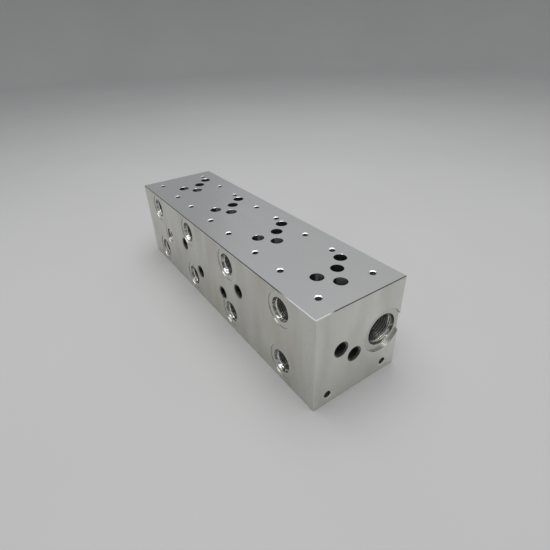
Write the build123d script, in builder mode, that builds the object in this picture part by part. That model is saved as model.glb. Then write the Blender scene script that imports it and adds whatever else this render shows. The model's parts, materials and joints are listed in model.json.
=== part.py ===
"""Four-station hydraulic manifold block, one piece of aluminium.

Four valves of the ISO 4401-05 size sit side by side on the top face.  Under each one, four passages
are drilled down from the valve face: P (pressure), A and B (work lines) and T (tank).  The A and B
passages lead to a row of O-ring ports each in the -X face, and all P and T passages open into a
gallery that runs the length of the block.

Frame: origin at the centre of the underside, X across the block, Y along it and Z up.  Sizes are in
millimetres.  A depth is measured down from the valve face, and an x from the block's middle.
Tapped holes have the diameter of their tap drill.
"""

import os
from dataclasses import dataclass
from math import radians, tan

from build123d import *


@dataclass(frozen=True)
class RingPort:
    """A straight-thread port that seals on an O-ring: spotface, conical seat, then the thread."""

    spotface_diameter: float
    spotface_depth: float
    seat_diameter: float
    seat_depth: float
    seat_angle: float  # between the cone and the port's axis
    drill_diameter: float
    drill_depth: float


@dataclass(frozen=True)
class TappedHole:
    """A tapped hole with a countersink at its mouth."""

    mouth_diameter: float
    drill_diameter: float
    drill_depth: float


# The block and its row of valve stations
BLOCK_WIDTH = 88.9
BLOCK_HEIGHT = 88.9
STATION_COUNT = 4
STATION_PITCH = 82.55
END_MARGIN = 41.275  # from each end face to the nearest station's centre
EDGE_CHAMFER = 0.6

# Tools
DRILL_POINT_ANGLE = 118.0
COUNTERSINK_ANGLE = 120.0
CUTTER_LEAD = 2.0  # how far each cutter starts outside the face that it enters

# Valve interface, from a station's centre: x across the block, y along it
VALVE_BOLT = TappedHole(mouth_diameter=6.8, drill_diameter=5.1, drill_depth=19.0)  # 1/4-20
VALVE_BOLT_SPACING_X = 54.0
VALVE_BOLT_SPACING_Y = 46.0
VALVE_PASSAGE_DIAMETER = 11.2
PASSAGE_A_X, PASSAGE_A_Y = -10.3, -1.6
PASSAGE_P_X, PASSAGE_P_Y = 0.0, -16.7
PASSAGE_B_X, PASSAGE_B_Y = 10.3, -1.6
PASSAGE_T_X, PASSAGE_T_Y = 23.8, 9.5

# Work ports in the -X face, one pair under each station
WORK_PORT = RingPort(  # 3/4-16
    spotface_diameter=30.2,
    spotface_depth=0.5,
    seat_diameter=20.6,
    seat_depth=2.25,
    seat_angle=15.0,
    drill_diameter=17.5,
    drill_depth=18.0,
)
WORK_PASSAGE_DIAMETER = 14.0
A_ROW_DEPTH = 16.5
B_ROW_DEPTH = 69.0

# Tank and pressure galleries, along the block, with one main port each.  The pressure gallery is
# drilled and tapped from the -Y end as a test port, until it meets its main port in the +Y end.
MAIN_PORT = RingPort(  # 1 1/16-12
    spotface_diameter=40.6,
    spotface_depth=1.8,
    seat_diameter=29.2,
    seat_depth=3.3,
    seat_angle=15.0,
    drill_diameter=24.9,
    drill_depth=24.0,
)
TANK_GALLERY_DIAMETER = 12.7
TANK_GALLERY_X = 25.8  # the port's spotface breaks out through the +X face
TANK_GALLERY_DEPTH = 44.1
PRESSURE_GALLERY_X = -4.85
PRESSURE_GALLERY_DEPTH = 51.4
GALLERY_OVERRUN = 8.0  # how far a gallery runs on past the centre of the last passage that it meets

# Drain gallery, from the -Y end to the next to last station, where a cross drilling meets T
DRAIN_GALLERY_X = -19.15
DRAIN_GALLERY_DEPTH = 39.2

# Test ports, 1/4-18 pipe thread: the mouths of two galleries in the -Y end and four in the -X face.
# The drill goes on past the thread, so its depth is worked out for each one.  A place along the
# block is from the centre of the second station, or of the next to last one.
TEST_MOUTH_DIAMETER = 14.0
TEST_DRILL_DIAMETER = 11.1
DRAIN_TEST_DEPTH = 35.4
DRAIN_TEST_SECOND_Y = -18.5
DRAIN_TEST_LAST_Y = 13.3
PRESSURE_TEST_DEPTH = 54.4
PRESSURE_TEST_SECOND_Y = 13.2
PRESSURE_TEST_LAST_Y = -20.4

# Gauge port in the -X face, drilled to the P passage of the last station
GAUGE_PORT = RingPort(  # 9/16-18
    spotface_diameter=23.0,
    spotface_depth=0.3,
    seat_diameter=15.6,
    seat_depth=2.5,
    seat_angle=12.0,
    drill_diameter=12.9,
    drill_depth=15.5,
)
GAUGE_PASSAGE_DIAMETER = 7.1
GAUGE_PORT_Y = -23.4
GAUGE_PORT_DEPTH = 43.0

# Foot bolts, a pair in each end face
FOOT_BOLT = TappedHole(mouth_diameter=8.2, drill_diameter=6.5, drill_depth=20.0)  # 5/16-18
FOOT_BOLT_INSET = 14.3  # from each side face
FOOT_BOLT_HEIGHT = 9.0  # above the underside

BLOCK_LENGTH = (STATION_COUNT - 1) * STATION_PITCH + 2 * END_MARGIN
NEAR_END_Y = -BLOCK_LENGTH / 2
FAR_END_Y = BLOCK_LENGTH / 2
SIDE_X = -BLOCK_WIDTH / 2
STATIONS = [NEAR_END_Y + END_MARGIN + i * STATION_PITCH for i in range(STATION_COUNT)]
DRILL_POINT_SLOPE = tan(radians(DRILL_POINT_ANGLE / 2))
COUNTERSINK_SLOPE = tan(radians(COUNTERSINK_ANGLE / 2))


def hole_cutter(wall):
    """The solid that a stepped hole removes, with its mouth in the XY plane and its depth along -Z.

    wall lists the corners of the hole's wall, each a (diameter, depth), from the mouth inwards to
    the hole's axis.
    """
    with BuildPart() as cutter:
        with BuildSketch(Plane.XZ):
            with BuildLine():
                Polyline(
                    (0, CUTTER_LEAD),
                    (wall[0][0] / 2, CUTTER_LEAD),
                    *[(diameter / 2, -depth) for diameter, depth in wall],
                    close=True,
                )
            make_face()
        revolve(axis=Axis.Z)
    return cutter.part


def drilled(wall):
    """The same wall, ended by a drill point."""
    diameter, depth = wall[-1]
    return [*wall, (0, depth + diameter / 2 / DRILL_POINT_SLOPE)]


def bottomed(wall):
    """The same wall, ended by a flat."""
    return [*wall, (0, wall[-1][1])]


def tapped_wall(hole):
    """Wall corners of a tapped hole, from its countersink to the end of its tap drill."""
    countersink_depth = (hole.mouth_diameter - hole.drill_diameter) / 2 / COUNTERSINK_SLOPE
    return [
        (hole.mouth_diameter, 0),
        (hole.drill_diameter, countersink_depth),
        (hole.drill_diameter, hole.drill_depth),
    ]


def ring_port_wall(port):
    """Wall corners of an O-ring port: spotface, seat cone, thread chamfer and tap drill."""
    seat_end = port.spotface_depth + port.seat_depth
    seat_end_diameter = port.seat_diameter - 2 * port.seat_depth * tan(radians(port.seat_angle))
    chamfer_depth = (seat_end_diameter - port.drill_diameter) / 2
    return [
        (port.spotface_diameter, 0),
        (port.spotface_diameter, port.spotface_depth),
        (port.seat_diameter, port.spotface_depth),
        (seat_end_diameter, seat_end),
        (port.drill_diameter, seat_end + chamfer_depth),
        (port.drill_diameter, port.drill_depth),
    ]


def ring_port_cutter(port, passage_diameter, passage_depth):
    """An O-ring port with a narrower passage drilled on from the point of its tap drill."""
    step = (port.drill_diameter - passage_diameter) / 2 / DRILL_POINT_SLOPE
    passage = [(passage_diameter, port.drill_depth + step), (passage_diameter, passage_depth)]
    return hole_cutter(drilled(ring_port_wall(port) + passage))


def valve_passage_cutter(depth):
    """A passage drilled down from the valve face."""
    return hole_cutter(drilled([(VALVE_PASSAGE_DIAMETER, 0), (VALVE_PASSAGE_DIAMETER, depth)]))


def test_port_cutter(depth):
    """A test port whose drill runs on to the given depth."""
    return hole_cutter(
        drilled(tapped_wall(TappedHole(TEST_MOUTH_DIAMETER, TEST_DRILL_DIAMETER, depth)))
    )


def valve_face(x, y):
    """A plane on the valve face, facing up."""
    return Plane(origin=(x, y, BLOCK_HEIGHT), z_dir=(0, 0, 1))


def side_face(y, depth):
    """A plane on the -X face, facing out."""
    return Plane(origin=(SIDE_X, y, BLOCK_HEIGHT - depth), z_dir=(-1, 0, 0))


def near_end(x, depth):
    """A plane on the -Y end face, facing out."""
    return Plane(origin=(x, NEAR_END_Y, BLOCK_HEIGHT - depth), z_dir=(0, -1, 0))


def far_end(x, depth):
    """A plane on the +Y end face, facing out."""
    return Plane(origin=(x, FAR_END_Y, BLOCK_HEIGHT - depth), z_dir=(0, 1, 0))


# Passages down from the valve face, each as deep as the line that it meets
a_passage = valve_passage_cutter(A_ROW_DEPTH)
b_passage = valve_passage_cutter(B_ROW_DEPTH)
p_passage = valve_passage_cutter(PRESSURE_GALLERY_DEPTH)
t_passage = valve_passage_cutter(TANK_GALLERY_DEPTH)

# Bolt holes: the valve's are finished flat by a bottoming cutter
valve_bolt = hole_cutter(bottomed(tapped_wall(VALVE_BOLT)))
foot_bolt = hole_cutter(drilled(tapped_wall(FOOT_BOLT)))

# Work ports, drilled in from the -X face to the axis of the passage that they serve
a_port = ring_port_cutter(WORK_PORT, WORK_PASSAGE_DIAMETER, PASSAGE_A_X - SIDE_X)
b_port = ring_port_cutter(WORK_PORT, WORK_PASSAGE_DIAMETER, PASSAGE_B_X - SIDE_X)

# The tank gallery stops past the last station's T passage
tank_line = ring_port_cutter(
    MAIN_PORT,
    TANK_GALLERY_DIAMETER,
    STATIONS[-1] + PASSAGE_T_Y + GALLERY_OVERRUN - NEAR_END_Y,
)
pressure_port = hole_cutter(drilled(ring_port_wall(MAIN_PORT)))
pressure_line = test_port_cutter(BLOCK_LENGTH - MAIN_PORT.drill_depth)

# The drain gallery links its own test ports, and the last of them is drilled on into T
drain_line = test_port_cutter(STATIONS[-2] + DRAIN_TEST_LAST_Y + GALLERY_OVERRUN - NEAR_END_Y)
drain_test = test_port_cutter(DRAIN_GALLERY_X - SIDE_X)
drain_to_tank = test_port_cutter(PASSAGE_T_X - SIDE_X)
pressure_test = test_port_cutter(PRESSURE_GALLERY_X - SIDE_X)
gauge_port = ring_port_cutter(GAUGE_PORT, GAUGE_PASSAGE_DIAMETER, PASSAGE_P_X - SIDE_X)

with BuildPart() as manifold_block:
    Box(
        BLOCK_WIDTH,
        BLOCK_LENGTH,
        BLOCK_HEIGHT,
        align=(Align.CENTER, Align.CENTER, Align.MIN),
    )
    chamfer(manifold_block.edges(), EDGE_CHAMFER)

    # Valve stations
    with Locations(*[valve_face(0, y) for y in STATIONS]):
        with GridLocations(VALVE_BOLT_SPACING_X, VALVE_BOLT_SPACING_Y, 2, 2):
            add(valve_bolt, mode=Mode.SUBTRACT)
        with Locations((PASSAGE_A_X, PASSAGE_A_Y)):
            add(a_passage, mode=Mode.SUBTRACT)
        with Locations((PASSAGE_P_X, PASSAGE_P_Y)):
            add(p_passage, mode=Mode.SUBTRACT)
        with Locations((PASSAGE_B_X, PASSAGE_B_Y)):
            add(b_passage, mode=Mode.SUBTRACT)
        with Locations((PASSAGE_T_X, PASSAGE_T_Y)):
            add(t_passage, mode=Mode.SUBTRACT)

    # Work ports
    with Locations(*[side_face(y, A_ROW_DEPTH) for y in STATIONS]):
        add(a_port, mode=Mode.SUBTRACT)
    with Locations(*[side_face(y, B_ROW_DEPTH) for y in STATIONS]):
        add(b_port, mode=Mode.SUBTRACT)

    # Lines along the block
    with Locations(near_end(TANK_GALLERY_X, TANK_GALLERY_DEPTH)):
        add(tank_line, mode=Mode.SUBTRACT)
    with Locations(far_end(PRESSURE_GALLERY_X, PRESSURE_GALLERY_DEPTH)):
        add(pressure_port, mode=Mode.SUBTRACT)
    with Locations(near_end(PRESSURE_GALLERY_X, PRESSURE_GALLERY_DEPTH)):
        add(pressure_line, mode=Mode.SUBTRACT)
    with Locations(near_end(DRAIN_GALLERY_X, DRAIN_GALLERY_DEPTH)):
        add(drain_line, mode=Mode.SUBTRACT)

    # Test and gauge ports in the side
    with Locations(side_face(STATIONS[1] + DRAIN_TEST_SECOND_Y, DRAIN_TEST_DEPTH)):
        add(drain_test, mode=Mode.SUBTRACT)
    with Locations(side_face(STATIONS[-2] + DRAIN_TEST_LAST_Y, DRAIN_TEST_DEPTH)):
        add(drain_to_tank, mode=Mode.SUBTRACT)
    with Locations(
        side_face(STATIONS[1] + PRESSURE_TEST_SECOND_Y, PRESSURE_TEST_DEPTH),
        side_face(STATIONS[-2] + PRESSURE_TEST_LAST_Y, PRESSURE_TEST_DEPTH),
    ):
        add(pressure_test, mode=Mode.SUBTRACT)
    with Locations(side_face(STATIONS[-1] + GAUGE_PORT_Y, GAUGE_PORT_DEPTH)):
        add(gauge_port, mode=Mode.SUBTRACT)

    # Foot bolts, level with each other near the bottom of both ends
    foot_x = BLOCK_WIDTH / 2 - FOOT_BOLT_INSET
    foot_depth = BLOCK_HEIGHT - FOOT_BOLT_HEIGHT
    with Locations(
        *[end(x, foot_depth) for end in (near_end, far_end) for x in (-foot_x, foot_x)]
    ):
        add(foot_bolt, mode=Mode.SUBTRACT)

manifold_block.part.label = "manifold_block"

os.makedirs("parts", exist_ok=True)
export_step(manifold_block.part, "parts/manifold_block.step")
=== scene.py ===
"""Hydraulic manifold block: cut threads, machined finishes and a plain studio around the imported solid."""

import json
import math

import bpy
from mathutils import Matrix, Vector


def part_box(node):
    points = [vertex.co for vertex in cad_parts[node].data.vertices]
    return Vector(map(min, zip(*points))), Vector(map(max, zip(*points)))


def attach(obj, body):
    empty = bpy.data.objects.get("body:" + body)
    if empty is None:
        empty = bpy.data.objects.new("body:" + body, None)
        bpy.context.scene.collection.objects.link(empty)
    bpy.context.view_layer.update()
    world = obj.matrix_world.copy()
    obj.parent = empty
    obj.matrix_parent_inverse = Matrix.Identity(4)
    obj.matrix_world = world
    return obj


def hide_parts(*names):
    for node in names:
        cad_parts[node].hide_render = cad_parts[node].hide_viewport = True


bl_info = {
    "name": "Hydraulic manifold block",
    "version": (1, 0, 0),
    "blender": (4, 5, 0),
    "location": "3D View > Sidebar > Manifold",
    "description": "Cuts the threads of a hydraulic manifold block, finishes its faces and lights it",
    "category": "Object",
}

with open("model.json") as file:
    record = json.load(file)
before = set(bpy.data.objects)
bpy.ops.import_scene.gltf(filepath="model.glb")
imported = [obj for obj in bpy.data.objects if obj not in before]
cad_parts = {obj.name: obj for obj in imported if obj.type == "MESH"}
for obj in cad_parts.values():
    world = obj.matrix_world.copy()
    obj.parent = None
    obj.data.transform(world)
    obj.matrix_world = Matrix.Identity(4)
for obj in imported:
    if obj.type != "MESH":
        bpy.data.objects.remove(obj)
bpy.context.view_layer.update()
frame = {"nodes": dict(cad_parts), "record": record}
BLOCK_LOW, BLOCK_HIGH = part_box("manifold_block")
MOUNTS = frame["record"]["mounts"]

INCH = 0.0254
ON_FACE = 1e-5  # how close to a plane of the block's box a point is on it
MERGE_DISTANCE = 1e-6
BEND_STEPS = 8  # of the floor's rim
EDGE_BAND = 0.0008  # how near to two sides a broken edge lies
HIGHLIGHT_STRETCH = (2.4, 1.0, 6.0)  # how much faster the painted highlight at the corner fades along each axis
HIGHLIGHT_FULL = 0.030  # stretched distance up to which the painted highlight is at full strength
HIGHLIGHT_END = 0.042
CAMERA_PLACE = Vector((-0.1731, -0.3135, 0.2493))
CAMERA_AIM = Vector((0.0048, -0.0456, 0.0444))
CAMERA_ROLL = math.radians(-2.2)
CAMERA_LENS = 25.475
CAMERA_SENSOR = 36.0
TEST_REACH = 0.0075  # about a test port's axis, where its countersink is
SEAT_SLOPE = 0.15  # of a seat's normal along its port's axis, at the least
RING_SLOPE = 0.6  # and of a chamfer's
PASSAGES = ("valve_a", "valve_b", "valve_p", "valve_t")
RIM_STEP = 0.0015  # longer than the edges along a passage's rim, shorter than those across it


# ---------------------------------------------------------------- properties


def size(name, description, default):
    """A length that a user can change."""
    return bpy.props.FloatProperty(
        name=name,
        description=description,
        default=default,
        min=0.0,
        precision=5,
        subtype="DISTANCE",
        unit="LENGTH",
    )


def colour(name, description, default):
    """A colour that a user can change."""
    return bpy.props.FloatVectorProperty(
        name=name,
        description=description,
        default=default,
        size=3,
        min=0.0,
        max=1.0,
        subtype="COLOR",
    )


def factor(name, description, default, high=1.0):
    """A plain number that a user can change."""
    return bpy.props.FloatProperty(
        name=name, description=description, default=default, min=0.0, max=high, subtype="FACTOR"
    )


class ThreadSizes(bpy.types.PropertyGroup):
    """Sizes of the threads cut in the block's tapped holes."""

    work_major: size("Work port thread", "Outer diameter of the work ports' thread", 0.75 * INCH)
    work_pitch: size("Work port pitch", "Rise of the work ports' thread in a turn", INCH / 16)
    work_start: size("Work port start", "Depth at which the work ports' thread starts", 0.0008)
    work_end: size("Work port end", "Depth at which the work ports' thread ends", 0.0165)
    main_major: size("Main port thread", "Outer diameter of the main ports' thread", 1.0625 * INCH)
    main_pitch: size("Main port pitch", "Rise of the main ports' thread in a turn", INCH / 12)
    main_start: size("Main port start", "Depth at which the main ports' thread starts", 0.0021)
    main_end: size("Main port end", "Depth at which the main ports' thread ends", 0.0225)
    gauge_major: size("Gauge port thread", "Outer diameter of the gauge port's thread", 0.5625 * INCH)
    gauge_pitch: size("Gauge port pitch", "Rise of the gauge port's thread in a turn", INCH / 18)
    gauge_start: size("Gauge port start", "Depth at which the gauge port's thread starts", 0.0008)
    gauge_end: size("Gauge port end", "Depth at which the gauge port's thread ends", 0.0145)
    test_major: size("Test port thread", "Outer diameter of the test ports' thread", 0.0137)
    test_pitch: size("Test port pitch", "Rise of the test ports' thread in a turn", INCH / 18)
    test_end: size("Test port end", "Depth at which the test ports' thread ends", 0.0150)
    valve_major: size("Valve bolt thread", "Outer diameter of the valve bolts' thread", 0.25 * INCH)
    valve_pitch: size("Valve bolt pitch", "Rise of the valve bolts' thread in a turn", INCH / 20)
    valve_end: size("Valve bolt end", "Depth at which the valve bolts' thread ends", 0.0170)
    foot_major: size("Foot bolt thread", "Outer diameter of the foot bolts' thread", 0.3125 * INCH)
    foot_pitch: size("Foot bolt pitch", "Rise of the foot bolts' thread in a turn", INCH / 18)
    foot_end: size("Foot bolt end", "Depth at which the foot bolts' thread ends", 0.0180)
    rim: size("Passage rim", "Width of the broken edge of a passage in the valve face", 0.00022)


class FinishColours(bpy.types.PropertyGroup):
    """Colours and roughness of the machined aluminium."""

    valve_face: colour("Valve face", "Ground aluminium of the valve face", (0.59, 0.59, 0.585))
    # Sides and ends are the same milled aluminium; their colours differ to paint light and shade, the sides
    # darker and the ends lighter
    side_tone_shaded: colour("Milled sides", "Milled aluminium of the sides", (0.64, 0.635, 0.60))
    end_tone_lit: colour("Milled ends", "Milled aluminium of the ends", (0.75, 0.755, 0.72))
    stain: colour("Stain", "Olive tint of dried coolant in the streaks", (0.46, 0.45, 0.34))
    blush: colour("Blush", "Pink tint of dried coolant in the streaks", (0.52, 0.46, 0.43))
    # The seats' colour is set dark, and dark blotches are painted on them, to stand in for dark reflections
    seat: colour("Seats", "Smooth aluminium of the ports' seats", (0.50, 0.50, 0.48))
    seat_painted_reflection: colour("Seat marks", "Dried coolant on the ports' seats", (0.22, 0.21, 0.17))
    ring: colour("Rings", "Freshly cut aluminium of small chamfers", (0.88, 0.88, 0.88))
    # Bores and threads get dark colours that paint the shade inside the holes
    bore: colour("Bores", "Drilled aluminium of the passages", (0.16, 0.155, 0.15))
    thread: colour("Threads", "Tapped aluminium of the threads", (0.24, 0.235, 0.215))
    # The edges' colour is dark to paint a shaded line along the top edges; the next colour is a highlight
    # painted at the block's top corner
    edge: colour("Edges", "Dull aluminium of the broken edges", (0.16, 0.16, 0.16))
    painted_highlight: colour("Filed corner", "Bright aluminium of the filed corner", (1.0, 1.0, 1.0))
    face_roughness: factor("Face roughness", "Roughness of the milled faces", 0.30)


class StageSettings(bpy.types.PropertyGroup):
    """Floor, backdrop and light."""

    floor: colour("Floor", "Colour of the floor and backdrop", (0.515, 0.515, 0.505))
    floor_radius: size("Floor radius", "Radius of the flat floor", 2.4)
    bend: size("Bend", "Radius of the bend that turns up all round the floor", 0.6)
    key_power: bpy.props.FloatProperty(
        name="Key light", description="Power of the overhead soft light", default=10.6, unit="POWER"
    )
    back_power: bpy.props.FloatProperty(
        name="Back light", description="Power of the soft light behind", default=0.4, unit="POWER"
    )
    world_level: factor("Sky level", "Strength of the even light from all round", 0.45, 4.0)


# ---------------------------------------------------------------- small tools


def select_none():
    """Leaves nothing selected and no active object."""
    if bpy.context.object and bpy.context.object.mode != "OBJECT":
        bpy.ops.object.mode_set(mode="OBJECT")
    bpy.ops.object.select_all(action="DESELECT")
    bpy.context.view_layer.objects.active = None


def select_only(*objects):
    """Selects these objects, the first one active."""
    select_none()
    for item in objects:
        item.select_set(True)
    bpy.context.view_layer.objects.active = objects[0]


def apply_modifier(piece, name, kind, **settings):
    """Adds one modifier to the piece and applies it."""
    modifier = piece.modifiers.new(name, kind)
    for key, value in settings.items():
        setattr(modifier, key, value)
    select_only(piece)
    bpy.ops.object.modifier_apply(modifier=name)


def copy_of(piece, name):
    """A copy of the piece with its own mesh."""
    twin = bpy.data.objects.new(name, piece.data.copy())
    bpy.context.scene.collection.objects.link(twin)
    return twin


# ---------------------------------------------------------------- threads


def holes(prefix):
    """Mouth and outward direction of each hole of the mounts whose names start with prefix."""
    found = []
    for mount in MOUNTS:
        if not mount["name"].startswith(prefix):
            continue
        outward = Vector(mount["axis"])
        place = Vector(mount["pos_m"])
        for k in range(3):
            if abs(outward[k]) > 0.5:
                place[k] = BLOCK_HIGH[k] if outward[k] > 0 else BLOCK_LOW[k]
        across = [k for k in range(3) if abs(outward[k]) < 0.5]
        dims = mount["dims"]
        steps = [dims.get("spacing_x_mm", 0.0) / 2000, dims.get("spacing_y_mm", 0.0) / 2000]
        signs = [(-1, 1) if step else (0,) for step in steps]
        for sign_x in signs[0]:
            for sign_y in signs[1]:
                offset = Vector()
                offset[across[0]] = sign_x * steps[0]
                offset[across[1]] = sign_y * steps[1]
                found.append((place + offset, outward))
    return found


def drill_radius(prefix):
    """Radius of the tap drill of the holes whose mounts' names start with prefix."""
    dims = next(m["dims"] for m in MOUNTS if m["name"].startswith(prefix))
    return dims.get("r_mm", dims.get("hole_r_mm")) / 1000


def thread_cutter(name, radius, major, pitch, start, end, segments):
    """A solid screw that cuts an internal thread, with its axis on Z and the hole's mouth at the origin.

    The core stays inside the drilled hole, and only its 60 degree ridge reaches the wall.
    """
    core = radius - 0.1 * pitch
    crest = pitch / 16
    flank = (major / 2 - core) * math.tan(math.radians(30))
    turns = round((end - start) / pitch) - 1
    select_none()
    bpy.ops.mesh.primitive_plane_add(size=pitch, location=(0, 0, 0))
    cutter = bpy.context.object
    cutter.name = name
    bpy.ops.object.mode_set(mode="EDIT")
    bpy.ops.mesh.select_mode(type="VERT")
    bpy.ops.mesh.merge(type="CENTER")
    bpy.ops.transform.translate(value=(core, 0, -start - (turns + 1) * pitch))
    rest = pitch - 2 * crest - 2 * flank
    for step in (
        (major / 2 - core, 0, flank),
        (0, 0, 2 * crest),
        (core - major / 2, 0, flank),
        (0, 0, rest),
    ):
        bpy.ops.mesh.extrude_region_move(TRANSFORM_OT_translate={"value": step})
    bpy.ops.object.mode_set(mode="OBJECT")
    apply_modifier(
        cutter,
        "Thread",
        "SCREW",
        axis="Z",
        angle=math.tau,
        screw_offset=pitch,
        iterations=turns,
        steps=segments,
        render_steps=segments,
        use_merge_vertices=True,
        merge_threshold=MERGE_DISTANCE,
    )
    bpy.ops.object.mode_set(mode="EDIT")
    bpy.ops.mesh.select_all(action="SELECT")
    bpy.ops.mesh.remove_doubles(threshold=MERGE_DISTANCE)
    bpy.ops.mesh.select_all(action="DESELECT")
    bpy.ops.mesh.select_mode(type="EDGE")
    bpy.ops.mesh.select_non_manifold(
        extend=False, use_wire=False, use_multi_face=False, use_non_contiguous=False, use_verts=False
    )
    bpy.ops.mesh.extrude_edges_move()
    bpy.ops.mesh.merge(type="COLLAPSE")
    bpy.ops.mesh.select_all(action="SELECT")
    bpy.ops.mesh.normals_make_consistent(inside=False)
    bpy.ops.object.mode_set(mode="OBJECT")
    if max(vertex.co.x for vertex in cutter.data.vertices) < core:
        raise RuntimeError(f"{name} came out without its width")
    return cutter


def set_in_holes(cutter, places):
    """One copy of the cutter in each hole, as separate objects."""
    copies = []
    for mouth, outward in places:
        twin = copy_of(cutter, cutter.name)
        turn = Vector((0, 0, 1)).rotation_difference(outward).to_matrix().to_4x4()
        twin.data.transform(Matrix.Translation(mouth) @ turn)
        copies.append(twin)
    bpy.data.objects.remove(cutter)
    return copies


def all_thread_cutters(threads, materials):
    """Every thread of the block as one object of separate screws."""
    kinds = (
        ("work_port", "work", threads.work_start, 48, "thread"),
        ("tank_port", "main", threads.main_start, 64, "thread"),
        ("pressure_port", "main", threads.main_start, 64, "thread"),
        ("gauge_port", "gauge", threads.gauge_start, 40, "thread"),
        ("drain_test", "test", 0.0, 36, "bore"),
        ("pressure_test", "test", 0.0, 36, "bore"),
        ("valve_bolts", "valve", 0.0, 24, "bore"),
        ("foot_bolt", "foot", 0.0, 28, "bore"),
    )
    copies = []
    for prefix, kind, start, segments, finish in kinds:
        cutter = thread_cutter(
            f"{prefix}_thread",
            drill_radius(prefix),
            getattr(threads, f"{kind}_major"),
            getattr(threads, f"{kind}_pitch"),
            start,
            getattr(threads, f"{kind}_end"),
            segments,
        )
        for material in materials:
            cutter.data.materials.append(material)
        for face in cutter.data.polygons:
            face.material_index = FINISHES.index(finish)
        copies += set_in_holes(cutter, holes(prefix))
    select_only(*copies)
    bpy.ops.object.join()
    return bpy.context.object


# ---------------------------------------------------------------- materials


class Nodes:
    """Short calls that add nodes to one material and link them."""

    def __init__(self, name):
        self.material = bpy.data.materials.new(name)
        self.material.use_nodes = True
        self.tree = self.material.node_tree
        self.shader = self.tree.nodes["Principled BSDF"]

    def add(self, kind, inputs=(), **settings):
        node = self.tree.nodes.new(kind)
        for key, value in settings.items():
            setattr(node, key, value)
        for key, value in dict(inputs).items():
            if isinstance(value, bpy.types.NodeSocket):
                self.tree.links.new(value, node.inputs[key])
            else:
                node.inputs[key].default_value = value
        return node

    def place(self, scale):
        """Object coordinates, stretched."""
        coordinates = self.add("ShaderNodeTexCoord").outputs["Object"]
        return self.add("ShaderNodeMapping", {"Vector": coordinates, "Scale": scale}).outputs[0]

    def noise(self, vector, scale, detail=3.0, roughness=0.5):
        inputs = {"Vector": vector, "Scale": scale, "Detail": detail, "Roughness": roughness}
        return self.add("ShaderNodeTexNoise", inputs).outputs["Fac"]

    def ramp(self, value, low, high, to_low=0.0, to_high=1.0):
        inputs = {
            "Value": value,
            "From Min": low,
            "From Max": high,
            "To Min": to_low,
            "To Max": to_high,
        }
        return self.add("ShaderNodeMapRange", inputs).outputs["Result"]

    def mix(self, share, first, second):
        node = self.add("ShaderNodeMix", {0: share}, data_type="RGBA")
        for key, value in ((6, first), (7, second)):
            if isinstance(value, bpy.types.NodeSocket):
                self.tree.links.new(value, node.inputs[key])
            else:
                node.inputs[key].default_value = (*value, 1.0)
        return node.outputs[2]

    def bump(self, height, distance, strength=1.0):
        inputs = {"Height": height, "Distance": distance, "Strength": strength}
        return self.add("ShaderNodeBump", inputs).outputs["Normal"]

    def shade(self, **inputs):
        for key, value in inputs.items():
            socket = self.shader.inputs[key.replace("_", " ")]
            if isinstance(value, bpy.types.NodeSocket):
                self.tree.links.new(value, socket)
            elif socket.type == "RGBA":
                socket.default_value = (*value, 1.0)
            else:
                socket.default_value = value
        return self.material


def milled(name, base, colours, roughness, streak_axis, stain_amount):
    """Milled aluminium: soft streaks of dried coolant along one axis over fine tool marks."""
    nodes = Nodes(name)
    along = [1.0, 1.0, 1.0]
    along[streak_axis] = 0.3
    streaks = nodes.noise(nodes.place(along), 48.0, 2.0, 0.5)
    warm = nodes.noise(nodes.place((1, 1, 1)), 22.0, 2.0)
    marks = nodes.noise(nodes.place(along), 2600.0, 2.0)
    stain = nodes.mix(nodes.ramp(warm, 0.42, 0.60), colours.stain, colours.blush)
    shade = nodes.mix(nodes.ramp(streaks, 0.40, 0.72, 0.0, stain_amount), base, stain)
    rough = nodes.ramp(streaks, 0.3, 0.7, roughness - 0.03, roughness + 0.04)
    normal = nodes.bump(marks, 0.000004, 0.3)
    return nodes.shade(Base_Color=shade, Metallic=1.0, Roughness=rough, Normal=normal)


def broken_edge(name, painted_shade, bright):
    """Chamfered edges in a dark colour that paints a shaded line, with a highlight painted bright at the
    top corner of the work and tank ports' faces.
    """
    nodes = Nodes(name)
    corner = (BLOCK_LOW[0], BLOCK_LOW[1], BLOCK_HIGH[2])
    coordinates = nodes.add("ShaderNodeTexCoord").outputs["Object"]
    away = nodes.add("ShaderNodeVectorMath", {0: coordinates, 1: corner}, operation="SUBTRACT")
    shorter = nodes.add(
        "ShaderNodeVectorMath", {0: away.outputs[0], 1: HIGHLIGHT_STRETCH}, operation="MULTIPLY"
    )
    distance = nodes.add("ShaderNodeVectorMath", {0: shorter.outputs[0]}, operation="LENGTH")
    # painted highlight: full near the corner, fading out with the stretched distance
    painted_highlight = nodes.ramp(distance.outputs["Value"], HIGHLIGHT_FULL, HIGHLIGHT_END, 1.0, 0.0)
    shade = nodes.mix(painted_highlight, painted_shade, bright)
    return nodes.shade(Base_Color=shade, Metallic=1.0, Roughness=nodes.ramp(painted_highlight, 0.0, 1.0, 0.35, 0.5))


def turned_seat(name, base, dark_reflection, roughness):
    """Smooth turned aluminium in a darkened colour, with dark blotches painted on it as reflections."""
    nodes = Nodes(name)
    reflection_patches = nodes.noise(nodes.place((1, 1, 1)), 190.0, 1.0)
    shade = nodes.mix(nodes.ramp(reflection_patches, 0.46, 0.54), base, dark_reflection)
    rough = nodes.ramp(reflection_patches, 0.4, 0.6, roughness, roughness + 0.1)
    return nodes.shade(Base_Color=shade, Metallic=1.0, Roughness=rough)


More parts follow.
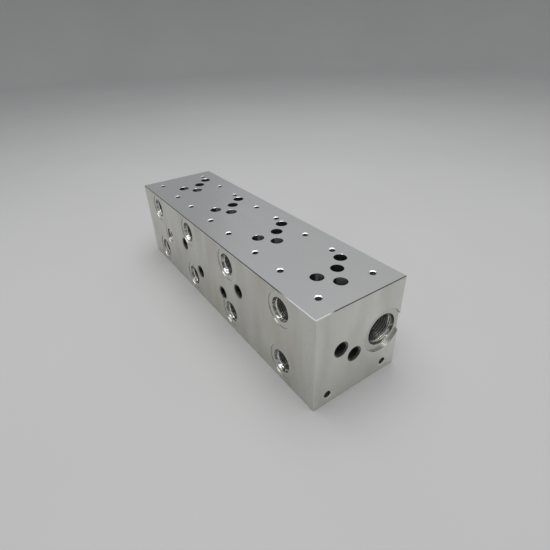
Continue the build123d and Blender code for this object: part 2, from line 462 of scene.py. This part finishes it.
def turned(name, base, roughness):
    """Bright turned aluminium, a little uneven."""
    nodes = Nodes(name)
    marks = nodes.noise(nodes.place((1, 1, 1)), 1500.0, 2.0)
    shade = nodes.mix(nodes.ramp(marks, 0.3, 0.7), tuple(0.9 * c for c in base), base)
    rough = nodes.ramp(marks, 0.3, 0.7, roughness - 0.04, roughness + 0.05)
    return nodes.shade(Base_Color=shade, Metallic=1.0, Roughness=rough)


def drilled(name, base, roughness):
    """Drilled aluminium inside the holes, in a dark colour that paints their shade, with random tool marks.
    """
    nodes = Nodes(name)
    marks = nodes.noise(nodes.place((1, 1, 1)), 700.0, 3.0)
    shade = nodes.mix(nodes.ramp(marks, 0.3, 0.7), tuple(0.7 * c for c in base), base)
    normal = nodes.bump(marks, 0.00003, 0.3)
    return nodes.shade(Base_Color=shade, Metallic=1.0, Roughness=roughness, Normal=normal)


FINISHES = ("valve_face", "side", "end", "edge", "spotface", "seat", "ring", "bore", "thread")


def add_finishes(piece, colours):
    """Gives the piece its material slots, in the order of FINISHES."""
    rough = colours.face_roughness
    made = {
        "valve_face": milled("valve_face_ground", colours.valve_face, colours, rough - 0.04, 1, 0.15),
        "side": milled("side_milled", colours.side_tone_shaded, colours, rough, 2, 0.6),
        "end": milled("end_milled", colours.end_tone_lit, colours, rough, 2, 0.5),
        "edge": broken_edge("edge_broken", colours.edge, colours.painted_highlight),
        # the spotfaces take the sides' colour, set darker to paint shade
        "spotface": turned("spotface_turned", colours.side_tone_shaded, 0.24),
        "seat": turned_seat("seat_turned", colours.seat, colours.seat_painted_reflection, 0.12),
        "ring": turned("ring_cut", colours.ring, 0.2),
        "bore": drilled("passage_drilled", colours.bore, 0.5),
        "thread": drilled("thread_cut", colours.thread, 0.36),
    }
    for finish in FINISHES:
        piece.data.materials.append(made[finish])


def finish_of(centre, normal, mouths):
    """Which finish a face of the block has, by its place and direction."""
    gaps = [min(abs(centre[k] - BLOCK_LOW[k]), abs(centre[k] - BLOCK_HIGH[k])) for k in range(3)]
    for k in range(3):
        if abs(normal[k]) > 0.999 and gaps[k] < ON_FACE:
            return ("side", "end", "valve_face")[k] if normal[2] > -0.9 else "side"
    if sorted(gaps)[1] < EDGE_BAND and max(abs(v) for v in normal) < 0.95:
        return "edge" if BLOCK_HIGH[2] - centre[2] < EDGE_BAND else "side"
    for mouth, outward, reach, depth, turned_depth in mouths:
        offset = centre - mouth
        below = -offset.dot(outward)
        across = (offset + below * outward).length
        if across < reach and below < depth:
            if below < turned_depth:
                return "spotface"
            slope = abs(normal.dot(outward))
            if slope < SEAT_SLOPE or reach == TEST_REACH:
                return "thread"
            return "ring" if slope > RING_SLOPE else "seat"
    return "bore"


def mouth_zones():
    """Mouth, direction, reach, thread depth and spotface depth of each hole."""
    return [
        (mouth, outward, reach, depth, spotface)
        for prefix, reach, depth, spotface in (
            ("work_port", 0.0156, 0.0180, 0.00055),
            ("tank_port", 0.0210, 0.0240, 0.00185),
            ("pressure_port", 0.0210, 0.0240, 0.00185),
            ("gauge_port", 0.0120, 0.0155, 0.00035),
            ("drain_test", TEST_REACH, 0.0150, 0.0),
            ("pressure_test", TEST_REACH, 0.0150, 0.0),
            ("valve_bolts", 0.0040, 0.0190, 0.0),
            ("foot_bolt", 0.0045, 0.0200, 0.0),
            *((prefix, 0.0060, 0.0004, 0.0) for prefix in PASSAGES),
        )
        for mouth, outward in holes(prefix)
    ]


def break_rims(block, width):
    """Breaks the sharp rims of the passages in the valve face."""
    rim_of = {}
    for prefix in PASSAGES:
        radius = drill_radius(prefix)
        for mouth, _ in holes(prefix):
            for vertex in block.data.vertices:
                if abs((vertex.co - mouth).length - radius) < ON_FACE:
                    rim_of[vertex.index] = tuple(mouth)
    select_only(block)
    bpy.ops.object.mode_set(mode="EDIT")
    bpy.ops.mesh.select_mode(type="EDGE")
    bpy.ops.mesh.select_all(action="DESELECT")
    bpy.ops.object.mode_set(mode="OBJECT")
    places = [vertex.co for vertex in block.data.vertices]
    for edge in block.data.edges:
        first, second = edge.vertices
        same_rim = first in rim_of and rim_of[first] == rim_of.get(second)
        edge.select = same_rim and (places[first] - places[second]).length < RIM_STEP
    if not any(edge.select for edge in block.data.edges):
        raise RuntimeError("no passage rim was found")
    bpy.ops.object.mode_set(mode="EDIT")
    bpy.ops.mesh.bevel(offset=width, segments=1)
    bpy.ops.object.mode_set(mode="OBJECT")


# ---------------------------------------------------------------- operators


class OBJECT_OT_manifold_body(bpy.types.Operator):
    """Add the drilled block with its machined finishes"""

    bl_idname = "object.manifold_body"
    bl_label = "Add manifold block"
    bl_options = {"REGISTER", "UNDO"}

    def execute(self, context):
        select_none()
        block = copy_of(frame["nodes"]["manifold_block"], "manifold_block_finished")
        block.data.materials.clear()
        select_only(block)
        bpy.ops.object.mode_set(mode="EDIT")
        bpy.ops.mesh.select_all(action="SELECT")
        bpy.ops.mesh.remove_doubles(threshold=MERGE_DISTANCE)
        bpy.ops.object.mode_set(mode="OBJECT")
        break_rims(block, context.scene.manifold_threads.rim)
        add_finishes(block, context.scene.manifold_finish)
        mouths = mouth_zones()
        for face in block.data.polygons:
            face.material_index = FINISHES.index(finish_of(face.center, face.normal, mouths))
        if not block.data.polygons:
            raise RuntimeError("the block has no faces")
        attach(block, "root")
        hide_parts("manifold_block")
        return {"FINISHED"}


class OBJECT_OT_manifold_threads(bpy.types.Operator):
    """Cut the threads of the ports and bolt holes into the block"""

    bl_idname = "object.manifold_threads"
    bl_label = "Cut threads"
    bl_options = {"REGISTER", "UNDO"}

    def execute(self, context):
        block = bpy.data.objects["manifold_block_finished"]
        cutters = all_thread_cutters(context.scene.manifold_threads, block.data.materials)
        before = len(block.data.polygons)
        apply_modifier(
            block, "Threads", "BOOLEAN", operation="DIFFERENCE", object=cutters, solver="MANIFOLD"
        )
        bpy.data.objects.remove(cutters)
        if len(block.data.polygons) <= before:
            raise RuntimeError("the threads were not cut")
        select_only(block)
        bpy.ops.object.shade_smooth_by_angle(angle=math.radians(28))
        for face in block.data.polygons:
            face.use_smooth = max(abs(v) for v in face.normal) < 0.99999
        return {"FINISHED"}


class OBJECT_OT_manifold_stage(bpy.types.Operator):
    """Add the floor, the lights and the camera"""

    bl_idname = "object.manifold_stage"
    bl_label = "Add stage"
    bl_options = {"REGISTER", "UNDO"}

    def execute(self, context):
        stage = context.scene.manifold_stage
        select_none()
        bpy.ops.mesh.primitive_circle_add(
            vertices=96, radius=stage.floor_radius, fill_type="NGON", location=(0, 0, BLOCK_LOW[2])
        )
        floor = context.object
        floor.name = "floor"
        bpy.ops.object.mode_set(mode="EDIT")
        bpy.ops.mesh.select_all(action="SELECT")
        bpy.ops.mesh.region_to_loop()
        reach = stage.floor_radius
        for k in range(BEND_STEPS):
            tilt = math.radians(90 * (k + 0.5) / BEND_STEPS)
            step = stage.bend * math.pi / 2 / BEND_STEPS
            bpy.ops.mesh.extrude_edges_move(
                TRANSFORM_OT_translate={"value": (0, 0, step * math.sin(tilt))}
            )
            growth = 1 + step * math.cos(tilt) / reach
            reach *= growth
            bpy.ops.transform.resize(value=(growth, growth, 1), center_override=(0, 0, 0))
        bpy.ops.object.mode_set(mode="OBJECT")
        bpy.ops.object.shade_smooth()
        floor.data.materials.append(floor_cloth(stage.floor))
        self.add_light("soft_light", (-0.02, -0.04, 1.2), 1.1, stage.key_power)
        self.add_light("back_light", (0.7, 0.7, 0.9), 0.9, stage.back_power)
        self.add_camera(context)
        world = bpy.data.worlds.new("even_sky")
        world.use_nodes = True
        background = world.node_tree.nodes["Background"]
        background.inputs["Color"].default_value = (0.95, 0.97, 1.0, 1.0)
        background.inputs["Strength"].default_value = stage.world_level
        context.scene.world = world
        context.scene.view_settings.view_transform = "Standard"
        return {"FINISHED"}

    def add_light(self, name, place, width, power):
        bpy.ops.object.light_add(type="AREA", location=place)
        light = bpy.context.object
        light.name = name
        light.data.shape = "SQUARE"
        light.data.size = width
        light.data.energy = power
        light.rotation_euler = (-light.location).to_track_quat("-Z", "Y").to_euler()

    def add_camera(self, context):
        bpy.ops.object.camera_add(location=CAMERA_PLACE)
        camera = context.object
        camera.name = "camera"
        aim = (CAMERA_AIM - CAMERA_PLACE).to_track_quat("-Z", "Y").to_matrix()
        camera.rotation_euler = (aim @ Matrix.Rotation(CAMERA_ROLL, 3, "Z")).to_euler()
        camera.data.lens = CAMERA_LENS
        camera.data.sensor_width = CAMERA_SENSOR
        camera.data.clip_start = 0.01
        context.scene.camera = camera


def floor_cloth(base):
    """Pale matt cloth with a faint unevenness."""
    nodes = Nodes("floor_pale")
    folds = nodes.noise(nodes.place((1, 1, 1)), 3.0, 3.0)
    shade = nodes.mix(nodes.ramp(folds, 0.3, 0.7), tuple(0.96 * c for c in base), base)
    return nodes.shade(Base_Color=shade, Roughness=0.9)


class VIEW3D_PT_manifold(bpy.types.Panel):
    """Sizes, colours and steps of the manifold block"""

    bl_label = "Manifold block"
    bl_idname = "VIEW3D_PT_manifold"
    bl_space_type = "VIEW_3D"
    bl_region_type = "UI"
    bl_category = "Manifold"

    def draw(self, context):
        for group in ("manifold_threads", "manifold_finish", "manifold_stage"):
            settings = getattr(context.scene, group)
            for key in settings.__annotations__:
                self.layout.prop(settings, key)
        for operator in STEPS:
            self.layout.operator(operator.bl_idname)


STEPS = (OBJECT_OT_manifold_body, OBJECT_OT_manifold_threads, OBJECT_OT_manifold_stage)
GROUPS = {
    "manifold_threads": ThreadSizes,
    "manifold_finish": FinishColours,
    "manifold_stage": StageSettings,
}


def register():
    """Registers every class and hangs the settings on the scene."""
    for item in (*GROUPS.values(), *STEPS, VIEW3D_PT_manifold):
        bpy.utils.register_class(item)
    for name, group in GROUPS.items():
        setattr(bpy.types.Scene, name, bpy.props.PointerProperty(type=group))


def unregister():
    """Takes back what register added."""
    for name in GROUPS:
        delattr(bpy.types.Scene, name)
    for item in reversed((*GROUPS.values(), *STEPS, VIEW3D_PT_manifold)):
        bpy.utils.unregister_class(item)


def main():
    """Runs the steps in order."""
    register()
    bpy.ops.object.manifold_body()
    bpy.ops.object.manifold_threads()
    bpy.ops.object.manifold_stage()


if __name__ == "__main__":
    main()
